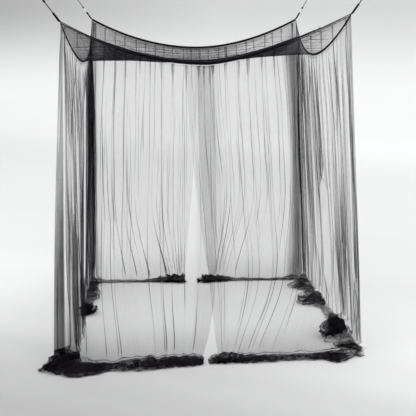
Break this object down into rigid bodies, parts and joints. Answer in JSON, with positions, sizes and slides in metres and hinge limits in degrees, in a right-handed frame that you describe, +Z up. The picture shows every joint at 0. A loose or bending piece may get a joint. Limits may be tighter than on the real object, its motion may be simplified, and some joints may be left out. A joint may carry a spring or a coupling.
{
  "type": "mosquito net canopy",
  "caption": "Rectangular sheer bed net that hangs from corner cords, with a sagging top, gathered walls that part at front and back, and hems that pool on the floor.",
  "frame": {"origin": "on the floor under the middle of the net's footprint", "axes": "+Z up, -Y towards the front of the net, where its slit is lowest, and +X to the right as seen from the front"},
  "size_m": [2.187, 2.2837, 2.4139],
  "materials": {
    "net": "fine black polyester net, sheer, matte",
    "tape": "black woven binding tape, stitched along both edges",
    "cord": "black braided cord",
    "clear_link": "clear moulded plastic, glossy"
  },
  "bodies": {
    "root": {"front_left": "net", "front_right": "net", "back_left": "net", "back_right": "net", "side_left": "net", "side_right": "net", "top_panel": "net", "binding_front": "tape", "binding_back": "tape", "binding_left": "tape", "binding_right": "tape", "tab_front_left": "tape", "tab_front_right": "tape", "tab_back_left": "tape", "tab_back_right": "tape", "cord_front_left": "cord", "cord_front_right": "cord", "cord_back_left": "cord", "cord_back_right": "cord", "knot_front_left": "cord", "knot_front_right": "cord", "knot_back_left": "cord", "knot_back_right": "cord", "loop_front_left": "cord", "loop_front_right": "cord", "loop_back_left": "cord", "loop_back_right": "cord", "link_back_left": "clear_link", "link_back_right": "clear_link"}
  },
  "joints": []
}
